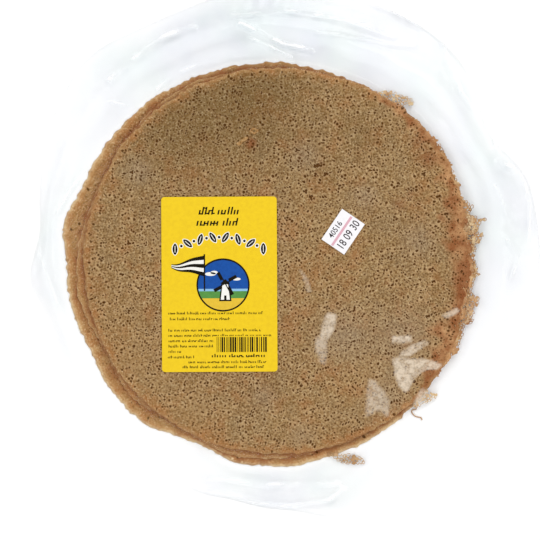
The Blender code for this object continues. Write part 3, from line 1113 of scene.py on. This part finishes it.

# Pale crumbs that stand for highlight dots, a painted highlight, as a direction in degrees, a way in from the
# lowest round's rim in millimetres, and a size.
HIGHLIGHT_CRUMBS = ((208.8, 1.6, 0.8), (213.1, 1.2, 1.0), (257.7, 2.2, 1.1), (260.6, 1.4, 0.9), (250.0, 1.0, 0.7))
HIGHLIGHT_CRUMBS += ((171.5, 0.2, 1.1),)
deselect_all()
bpy.ops.mesh.primitive_ico_sphere_add(subdivisions=4, radius=1 * MM)
crumb = added("crumb")
roughened(crumb, 0.5 * MM, 1.1 * MM, 79)
scattered = []
for direction, inward, size in HIGHLIGHT_CRUMBS:
    angle = math.radians(direction)
    reach = round_edges[LOWEST](angle) - inward * MM
    deselect_all()
    choose(crumb)
    bpy.ops.object.duplicate(linked=False)
    copy = bpy.context.active_object
    copy.scale = (size, size * 0.8, size * 0.6)
    copy.rotation_euler.z = 3 * angle
    copy.location = (STACK_X + reach * math.cos(angle), STACK_Y + reach * math.sin(angle), 1.5 * MM)
    scattered.append(added("crumb_copy"))
deselect_all()
for copy in scattered:
    copy.select_set(True)
bpy.context.view_layer.objects.active = scattered[0]
bpy.ops.object.join()
highlight_crumbs = scattered[0]
highlight_crumbs.name = "rim_highlight_crumbs"
bpy.data.objects.remove(crumb)

small_pieces = [ring, ridge, strand, highlight_crumbs]
# The rim crumbs take the palest rim colour, for their painted highlight.
for piece, from_rim, baked in zip(small_pieces, (7.0, 7.0, 2.2, 0.2), (-0.9, -0.9, 0, 0)):
    add_crumb_values(piece, edge_mm=lambda co: from_rim, toast=lambda co: baked)
    piece.data.shade_smooth()
    piece.data.materials.append(bpy.data.materials["baked_buckwheat_1"])
    print(piece.name, len(piece.data.polygons), "faces", open_edges(piece), "open edges")

# %% [markdown]
# ## Making the film
# The film is one closed skin: a fine sheet above, a coarse flat one under the stack, joined at the bag's
# edge. Clear film shows by what it does to light: it takes a little away, its folds catch the lamps, helped
# by a painted shade and a painted highlight on their two sides, and listed patches over the crumb are
# whitened by painted reflection. Each of these is a value on the mesh that the finish reads.

# %% Make the film


def make_film():
    spacing = 1.35 * MM
    size = 372 * MM
    sheets = []
    for name, cells, height in (("film_bag", spacing, None), ("film_under", 6 * MM, FILM_UNDER)):
        deselect_all()
        count = round(size / cells)
        middle = (STACK_X + BAG["x"], STACK_Y + BAG["y"], 0)
        bpy.ops.mesh.primitive_grid_add(x_subdivisions=count, y_subdivisions=count, size=size)
        bpy.context.active_object.location = middle
        sheet = added(name)
        cut_to(sheet, bag_edge, cells)
        for vertex in sheet.data.vertices:
            vertex.co.z = film_height(vertex.co.x, vertex.co.y) if height is None else height
        sheets.append(sheet)
    top, under = sheets
    under.data.flip_normals()
    choose(under)
    top.select_set(True)
    bpy.context.view_layer.objects.active = top
    bpy.ops.object.join()
    with editing(top, "EDGE"):
        bpy.ops.mesh.select_non_manifold(extend=False)
        bpy.ops.mesh.bridge_edge_loops()
        turn_outwards()

    def crease(co):
        """Painted shade above 0, on a fold's shaded side, and painted highlight below 0, on its lit side."""
        most = 0.0
        if co.z > FILM_UNDER * 1.5:
            for *points, half_width, ridge in FOLDS:
                away, side = to_line(*from_middle(co), points)
                if away < 3 * half_width:
                    broken = max(0.0, 0.55 + 1.1 * drift(co.x, co.y, 47, 9 * MM))
                    steep = away / half_width * math.exp(-((away / half_width) ** 2))
                    most += 1.5 * side * ridge * broken * steep
        return min(1.0, max(-1.0, most))

    def margin(co):
        """How much the loose margin shows."""
        angle, distance = polar(co)
        foot = even_low(angle)
        beside = smooth_step(-2 * MM, 6 * MM, distance - foot)
        share = (distance - foot) / (bag_edge(angle) - foot)
        fading = 1 - smooth_step(0.75, 1.0, share) * (0.6 + 0.4 * ripple(angle, 63, 2, 9))
        return beside * min(1.0, swelling(angle, FILM_SHOWS)) * fading

    # The patches of painted reflection, how much the margin shows, and the folds' painted shade and highlight.
    add_values(
        top,
        frost=lambda co: frosted(*from_middle(co)) if co.z > 0.5 * STACK_TOP else 0.0,
        margin=margin,
        crease=crease,
    )
    top.data.shade_smooth()
    print("film", len(top.data.polygons), "faces", open_edges(top), "open edges")
    return top


# %% [markdown]
# ## The film's look
# Thin polypropylene film is as good as clear. It takes a hint of light away, more in the loose margin, and
# it mirrors the lamps, most where it is seen aslant. Each fold gets a painted shade on its shaded side and a
# painted highlight on its lit side. A 4 mm crumple breaks the glints up, and wisps of painted reflection,
# about 3 mm, whiten listed patches over the crumb.

# %% Film material


def clear_film():
    made, tree, output, in_mm = new_material("clear_polypropylene_film")
    names = ("margin", "frost", "crease")
    stored = [add_node(tree, "ShaderNodeAttribute", attribute_name=name) for name in names]
    margin, frost, crease = (node.outputs["Fac"] for node in stored)
    noises = []
    for size, detail, roughness in ((50, 3.0, 0.5), (26, 3.0, 0.5), (4, 4.0, 0.6), (3.2, 4.0, 0.65)):
        values = {"Vector": in_mm, "Scale": 1 / size, "Detail": detail, "Roughness": roughness}
        noises.append(add_node(tree, "ShaderNodeTexNoise", values).outputs["Fac"])
    hues, cloudy, crumple, wisp = noises
    in_margin = (margin, 0.0, 1.0, 0.0, 1.0)
    white = linear("#ffffff")

    # The clear part takes a little light away, greener here and bluer there, and a painted shade darkens the
    # shaded side of each fold.
    hue = coat(tree, linear("#f7fafa"), linear("#f8f9fb"), (hues, 0.42, 0.58, 0.0, 1.0))
    tint = coat(tree, white, hue, (cloudy, 0.2, 0.75, 0.25, 1.0), in_margin)
    tint = coat(tree, tint, linear("#e8ebee"), (crease, 0.05, 1.0, 0.0, 1.0), in_margin)
    clear = add_node(tree, "ShaderNodeBsdfTransparent", {"Color": tint}).outputs["BSDF"]
    relief = add_node(tree, "ShaderNodeBump", {"Height": crumple, "Strength": 0.35, "Distance": 0.5 * MM})
    relief = relief.outputs["Normal"]
    gloss = add_node(tree, "ShaderNodeBsdfGlossy", {"Color": white, "Roughness": 0.09, "Normal": relief})
    fresnel = add_node(tree, "ShaderNodeFresnel", {"IOR": 1.49, "Normal": relief}).outputs[0]
    share = share_of(tree, (fresnel, 0.0, 1.0, 0.0, 1.0), (margin, 0.0, 1.0, 0.10, 0.5))
    film = add_node(tree, "ShaderNodeMixShader", {0: share, 1: clear, 2: gloss.outputs["BSDF"]}).outputs[0]

    # A painted highlight whitens the lit side of each fold, and painted reflection whitens patches over the
    # crumb.
    glint = share_of(tree, (crease, -0.15, -1.0, 0.0, 0.7))
    painted_highlight = add_node(tree, "ShaderNodeBsdfDiffuse", {"Color": white}).outputs["BSDF"]
    film = add_node(tree, "ShaderNodeMixShader", {0: glint, 1: film, 2: painted_highlight}).outputs[0]
    # Painted reflection: the listed patches over the crumb are mixed with a pale cream, in wisps.
    wisps = share_of(tree, (wisp, 0.32, 0.6, 0.3, 1.0), (frost, 0.0, 1.0, 0.0, 1.0))
    painted_reflection = add_node(tree, "ShaderNodeBsdfDiffuse", {"Color": linear("#f0dfc8")}).outputs["BSDF"]
    whitish = share_of(tree, (wisps, 0.05, 1.0, 0.0, 0.64))
    whole = add_node(tree, "ShaderNodeMixShader", {0: whitish, 1: film, 2: painted_reflection}).outputs[0]
    tree.links.new(whole, output.inputs["Surface"])
    return made


film = make_film()
film.data.materials.append(clear_film())
for piece in galettes + laces + small_pieces:
    corners = list(piece.data.vertices)
    places = [vertex.co for vertex in corners[:: max(1, len(corners) // 6000)]]
    room = min(film_height(co.x, co.y) - co.z for co in places)
    print(piece.name, "room under the film", round(room / MM, 2), "mm")

# %% [markdown]
# ## The label
# The label is satin paper with rounded corners, printed in yellow. It lies on the film, flat, where the
# frame has its plate. The print is modelled as ink: each shape is a plate a few hundredths of a millimetre
# thick, laid on the paper, so it keeps its edges at any size. The words are left as short strokes that
# stand for reading matter, and the picture is a plain country scene: a round medallion with a mill on a
# field, a garland and a striped pennant.

# %% Paper and ink
PAPER_TOP = label_high.z
LABEL_TURN = math.radians(0.3)
INK = 0.02 * MM


def paper(name, colour, mottle, sheen=0.3):
    """Satin paper or ink: one colour with a faint mottle in it, and a soft sheen. Fibres are finer than a
    picture of the whole bag can show, so the mottle is drawn coarser, at 2.5 mm."""
    made, tree, output, in_mm = new_material(name)
    fibre = {"Vector": in_mm, "Scale": 1 / 2.5, "Detail": 4.0, "Roughness": 0.7}
    mottles = add_node(tree, "ShaderNodeTexNoise", fibre).outputs["Fac"]
    stops = [(0.3, linear(mottle)), (0.6, linear(colour))]
    shade = add_node(tree, "ShaderNodeValToRGB", {"Fac": mottles}, stops).outputs["Color"]
    values = {"Base Color": shade, "Roughness": 0.45, "Specular IOR Level": sheen}
    shader = add_node(tree, "ShaderNodeBsdfPrincipled", values)
    tree.links.new(shader.outputs["BSDF"], output.inputs["Surface"])
    return made


INKS = {
    "yellow": paper("satin_yellow_label_paper", "#e1be06", "#d9b505"),
    "black": paper("black_ink", "#15110a", "#1c170e", 0.05),
    "white": paper("white_ink", "#e6e4dd", "#dddbd4"),
    "blue": paper("blue_ink", "#184c98", "#15438a", 0.1),
    "light_blue": paper("light_blue_ink", "#86b4d6", "#7cabcf"),
    "green": paper("green_ink", "#4f8a3c", "#457d35"),
    "straw": paper("straw_ink", "#d8b32e", "#cba828"),
    "sticker": paper("white_sticker_paper", "#e7e5e7", "#e1dee0"),
    "red": paper("faded_red_ink", "#d0a3ae", "#c999a5"),
    "stamp": paper("dark_stamp_ink", "#332d30", "#3f383b", 0.1),
}


def thicken(thing, height):
    """Gives flat faces a thickness upwards."""
    with editing(thing, "EDGE"):
        bpy.ops.mesh.select_all(action="SELECT")
        bpy.ops.mesh.extrude_region_move(TRANSFORM_OT_translate={"value": (0, 0, height)})
        turn_outwards()


def plate(name, corners, low, high):
    """A closed flat plate with the given corners, in order, between two heights."""
    deselect_all()
    bpy.ops.mesh.primitive_circle_add(vertices=len(corners), radius=1 * MM, fill_type="NGON")
    thing = added(name)
    for vertex, (x, y) in zip(thing.data.vertices, corners):
        vertex.co = (x, y, low)
    thicken(thing, high - low)
    return thing


def turned(points, x, y, turn, scale=1.0):
    """Points about their own middle, turned and moved, and scaled first where they change units."""
    cosine, sine = scale * math.cos(turn), scale * math.sin(turn)
    return [(x + a * cosine - b * sine, y + a * sine + b * cosine) for a, b in points]


def rectangle(x, y, width, height, lean=0.0):
    """Corners of a rectangle from its middle and size, leaning over to the right by lean times its height."""
    w, h = width / 2, height / 2
    shift = lean * h
    return [(x - w - shift, y - h), (x + w - shift, y - h), (x + w + shift, y + h), (x - w + shift, y + h)]


def oval(x, y, width, height, count=32):
    angles = [math.tau * step / count for step in range(count)]
    return [(x + width / 2 * math.cos(angle), y + height / 2 * math.sin(angle)) for angle in angles]


def on_label(points):
    return turned(points, label_middle.x, label_middle.y, LABEL_TURN, MM)


drawn = {name: [] for name in INKS}


def ink(colour, points, layer=1, place=on_label):
    """Draws one printed shape in its place. A higher layer lies over a lower one."""
    drawn[colour].append((place(points), PAPER_TOP + (layer - 1) * INK))


# %% The label's paper
label_size = (78.5, 119.0)
corner = 2.2
outline = []
for middle_x, middle_y, first in ((1, 1, 0), (-1, 1, 90), (-1, -1, 180), (1, -1, 270)):
    for step in range(7):
        angle = math.radians(first + 15 * step)
        x = middle_x * (label_size[0] / 2 - corner) + corner * math.cos(angle)
        y = middle_y * (label_size[1] / 2 - corner) + corner * math.sin(angle)
        outline.append((x, y))
label = plate("yellow_label", on_label(outline), label_low.z, label_high.z)
label.data.materials.append(INKS["yellow"])

# %% [markdown]
# The print follows the real label's plan from top to bottom: two short leaning heading lines, an arched
# band, the picture, small reading matter, a bar code and more small matter. Places are in millimetres from
# the label's middle.

# %% Headings and small print
draw = random.Random(7)


def strokes(x, y, width, height, weight, lean):
    """A line of short strokes in groups, which stands for a line of print."""
    end = x + width
    while x < end:
        word_end = min(x + draw.randint(2, 7) * 1.4 * weight, end)
        while x < word_end:
            tall = height * draw.choice((0.6, 0.6, 0.65, 0.65, 1.0))
            ink("black", rectangle(x + lean * tall / 2, y + tall / 2, weight * 0.62, tall, lean))
            if draw.random() < 0.45:
                bridge = y + tall * draw.choice((0.15, 0.5, 0.85))
                along = x + weight * 0.6 + lean * (bridge - y)
                ink("black", rectangle(along, bridge, weight * 0.9, weight * 0.5))
            x += weight * draw.uniform(1.15, 1.45)
        x += weight * 1.1


strokes(-13.5, 47.4, 28, 5.2, 1.75, 0.22)
strokes(-15.0, 39.8, 30, 5.2, 1.75, 0.22)
SMALL_PRINT = ((-34.5, -20.4, 64), (-33.5, -24.3, 40), (-34.5, -32.0, 62), (-34.5, -35.6, 70))
SMALL_PRINT += ((-34.5, -39.2, 33), (-34.5, -42.8, 30), (-34.5, -46.4, 8), (-35.0, -50.2, 18))
SMALL_PRINT += ((-21.0, -53.6, 52), (-25.0, -57.0, 55))
for left, y, length in SMALL_PRINT:
    strokes(left, y, length, 1.9, 0.78, 0.0)
strokes(-5.0, -49.6, 38, 2.3, 1.3, 0.0)
print("small print", len(drawn["black"]), "strokes")

# %% [markdown]
# The bar code stands on a plain yellow patch. Its bars and gaps have drawn widths, so it says nothing.

# %% Bar code
ink("yellow", rectangle(14.5, -41.0, 38, 11.5), 2)
left = -2.0
while left < 31.0:
    width = draw.choice((0.4, 0.4, 0.8, 1.15))
    ink("black", rectangle(left + width / 2, -41.0, width, 10.2), 3)
    left += width + draw.choice((0.4, 0.45, 0.8))
print("bars and strokes", len(drawn["black"]))

# %% [markdown]
# Above the picture runs an arch of leaves and berries in turn, each black with a white rim, and each leaf
# with a white vein.

# %% Arched garland
MOTIFS = 15


def leaf(long, wide):
    """A pointed leaf's corners, from tip to tip and back."""
    profile = [(math.cos(math.pi * step / 8), math.sin(math.pi * step / 8)) for step in range(9)]
    side = [(wide * across**1.4, -long * along) for along, across in profile]
    return side + [(-x, y) for x, y in reversed(side[1:-1])]


for step in range(MOTIFS):
    share = 2 * step / (MOTIFS - 1) - 1
    x, y = 30.0 * share, 32.0 - 8.0 * share * share
    lean = -0.5 * share + (0.5 if step % 4 else -0.5)
    for colour, rim, layer in (("white", 0.6, 1), ("black", 0.0, 2)):
        motif = oval(0, 0, 2 * (0.9 + rim), 2 * (0.9 + rim), 16) if step % 2 else leaf(3.9 + rim, 1.7 + rim)
        ink(colour, turned(motif, x, y, lean), layer)
    if step % 2 == 0:
        ink("white", turned(rectangle(0, 0, 0.45, 4.6), x, y, lean), 3)

# %% [markdown]
# The medallion's bands of sky, haze, grass and straw are slices of one disc. The mill stands on them in
# black and white, with four sails that are one shape turned by quarters.

# %% Round medallion with a mill on a field
MEDAL = (2.5, -0.5)
RADIUS = 17.0


def in_medal(low, high, inset=0.0):
    """The part of the medallion's disc between two heights, as corners in order."""
    reach = RADIUS - inset
    points = []
    steps = 24
    for side in (1, -1):
        for step in range(steps + 1):
            share = step / steps if side == 1 else 1 - step / steps
            y = low + (high - low) * share
            points.append((MEDAL[0] + side * math.sqrt(max(reach**2 - y**2, 0.0)), MEDAL[1] + y))
    return points


ink("black", oval(*MEDAL, 2 * RADIUS + 2.2, 2 * RADIUS + 2.2, 64), 1)
ink("blue", in_medal(-3.0, RADIUS - 0.01), 2)
ink("light_blue", in_medal(-5.0, -2.6), 3)
ink("green", in_medal(-9.0, -4.2), 4)
ink("straw", in_medal(-RADIUS + 0.01, -8.4), 2)
ink("white", oval(MEDAL[0] - 8.5, MEDAL[1] + 7.5, 7.5, 2.6), 3)
ink("white", oval(MEDAL[0] - 6.0, MEDAL[1] + 8.5, 5.0, 2.4), 3)
ink("white", oval(MEDAL[0] + 9.0, MEDAL[1] + 4.0, 6.0, 2.0), 3)
mill = (MEDAL[0] + 1.5, MEDAL[1] - 3.0)
ink("black", turned([(-4.2, -8), (4.2, -8), (2.7, 4), (-2.7, 4)], *mill, 0), 5)
ink("white", turned([(-3.1, -7), (3.1, -7), (1.9, 3.4), (-1.9, 3.4)], *mill, 0), 6)
ink("black", turned([(-3.3, 4), (3.3, 4), (0, 7)], *mill, 0), 5)
ink("black", rectangle(mill[0], mill[1] - 5.6, 1.6, 3.0), 7)
sail = [(0.6, -0.35), (9.0, -0.35), (9.0, 1.9), (3.2, 1.9), (3.2, 0.35), (0.6, 0.35)]
for quarter in range(4):
    ink("black", turned(sail, mill[0], mill[1] + 4.0, math.radians(28 + 90 * quarter)), 8)

# %% [markdown]
# A striped pennant blows to the left from a mast at the medallion's left. Its stripes narrow towards its end.

# %% Striped pennant
MAST = -10.5
for stripe in range(5):
    points = []
    for side in (1, -1):
        for step in range(13):
            share = step / 12 if side == 1 else 1 - step / 12
            half = 7.0 * (1 - share) + 1.2 * share
            level = 1 - 2 * (stripe + (0 if side == 1 else 1)) / 5
            points.append((MAST - 22 * share, 12.5 + half * level + 1.3 * math.sin(math.tau * share) * share))
    ink("black" if stripe % 2 == 0 else "white", points, 9)
ink("black", rectangle(MAST + 0.4, 8.0, 0.9, 25.0), 10)

# %% [markdown]
# ## The date sticker
# A small white sticker from a price gun, put on aslant, with two rows of plain numbers and a faded red line
# between them. The numbers come from Blender's own font, turned into a mesh before they are put in place.

# %% Date sticker
STICKER_TURN = math.radians(55.8)
STICKER_SIZE = (25.0, 18.7)


def on_sticker(points):
    return turned(points, sticker_middle.x, sticker_middle.y, STICKER_TURN, MM)


sticker_corners = on_sticker(rectangle(0, 0, *STICKER_SIZE))
sticker = plate("date_sticker_paper", sticker_corners, sticker_low.z, sticker_high.z)
sticker.data.materials.append(INKS["sticker"])
ink("red", rectangle(-0.2, 1.0, 23.5, 1.7), 1, on_sticker)


def numbers(words, x, y, height, squeeze):
    """Plain numbers as a mesh, laid on the sticker with their left end at a place on it."""
    deselect_all()
    bpy.ops.object.text_add(location=(0, 0, 0))
    text = bpy.context.active_object
    text.data.body = words
    text.data.size = height / 0.7 * MM
    text.data.extrude = INK / 2
    text.data.offset = 0.00006
    text.data.resolution_u = 3
    choose(text)
    bpy.ops.object.convert(target="MESH")
    shape = bpy.context.active_object
    shape.name = "stamped_numbers"
    with editing(shape, "EDGE"):
        bpy.ops.mesh.select_all(action="SELECT")
        bpy.ops.mesh.remove_doubles(threshold=0.001 * MM)
    for vertex in shape.data.vertices:
        point = (x + vertex.co.x / MM * squeeze, y + vertex.co.y / MM)
        vertex.co.x, vertex.co.y = on_sticker([point])[0]
        vertex.co.z += sticker_high.z + INK / 2
    return shape


stamped = [numbers("40516", -8.0, 3.4, 3.9, 0.9), numbers("18 09 30", -10.8, -6.6, 5.4, 0.8)]

# %% [markdown]
# Each ink's shapes are first drawn flat, as outlines at their height. One extrude then gives them all their
# thickness, just as a printed layer is laid down in one pass.

# %% Lay each ink down


def lay_ink(colour, shapes):
    """Makes one piece of an ink's flat shapes, each a closed plate."""
    corners = []
    faces = []
    for points, low in shapes:
        faces.append(range(len(corners), len(corners) + len(points)))
        corners.extend((x, y, low) for x, y in points)
    mesh = bpy.data.meshes.new("print_" + colour)
    mesh.from_pydata(corners, [], [list(face) for face in faces])
    piece = bpy.data.objects.new("print_" + colour, mesh)
    bpy.context.scene.collection.objects.link(piece)
    thicken(piece, INK)
    mesh.materials.append(INKS[colour])
    return piece


ink_pieces = [lay_ink(colour, shapes) for colour, shapes in drawn.items() if shapes]
choose(stamped[0])
stamped[1].select_set(True)
bpy.ops.object.join()
stamped[0].name = "print_stamp"
stamped[0].data.materials.append(INKS["stamp"])
ink_pieces.append(stamped[0])
print("ink", [(piece.name, len(piece.data.polygons), open_edges(piece)) for piece in ink_pieces])

# %% [markdown]
# ## Light and floor
# The photo's light is soft and comes from all sides, a little more from the top of the picture. Four large
# soft lamps stand round the bag, and a white room fills the shadows. The floor is only a stage, not a part.

# %% Light and floor
bpy.context.scene.view_settings.view_transform = "Standard"
world = bpy.data.worlds.new("soft_white_room")
world.use_nodes = True
world.node_tree.nodes["Background"].inputs["Color"].default_value = (1, 1, 1, 1)
world.node_tree.nodes["Background"].inputs["Strength"].default_value = 0.40
bpy.context.scene.world = world


# The lamps' angle above the floor, and their distance and width in metres.
LAMP_ELEVATION = math.radians(48)
LAMP_DISTANCE = 1.2
LAMP_SIZE = 0.7


def softbox(name, azimuth, watts):
    """A square area light that stands in a direction and looks at the stack's middle."""
    data = bpy.data.lights.new(name, "AREA")
    data.shape = "SQUARE"
    data.size = LAMP_SIZE
    data.energy = watts
    lamp = bpy.data.objects.new(name, data)
    away = LAMP_DISTANCE * math.cos(LAMP_ELEVATION)
    x, y = away * math.sin(math.radians(azimuth)), away * math.cos(math.radians(azimuth))
    lamp.location = (STACK_X + x, STACK_Y + y, LAMP_DISTANCE * math.sin(LAMP_ELEVATION))
    lamp.rotation_euler = (Vector((STACK_X, STACK_Y, 0)) - lamp.location).to_track_quat("-Z", "Y").to_euler()
    bpy.context.scene.collection.objects.link(lamp)


for name, azimuth, watts in (("key", 20, 6.2), ("left", 290, 4.0), ("right", 110, 4.0), ("near", 200, 4.0)):
    softbox(name + "_softbox", azimuth, watts)

deselect_all()
bpy.ops.mesh.primitive_plane_add(size=6)
floor = added("floor")
floor_material, tree, output, in_mm = new_material("matt_white_paper_floor")
shader = add_node(tree, "ShaderNodeBsdfPrincipled", {"Base Color": linear("#f4f4f4"), "Roughness": 0.9})
tree.links.new(shader.outputs["BSDF"], output.inputs["Surface"])
floor.data.materials.append(floor_material)

# %% [markdown]
# ## Handing the pieces over
# Every piece rides on the only body. The film and all that lies in it take the place of the bag's solid,
# and the two papers take the places of their plates.

# %% Hand over
for piece in galettes + laces + small_pieces:
    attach(piece, "root")
    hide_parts("bag")
for piece in [label] + ink_pieces:
    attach(piece, "root")
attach(sticker, "root")
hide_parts("label")
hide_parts("date_sticker")
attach(film, "root")
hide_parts("bag")
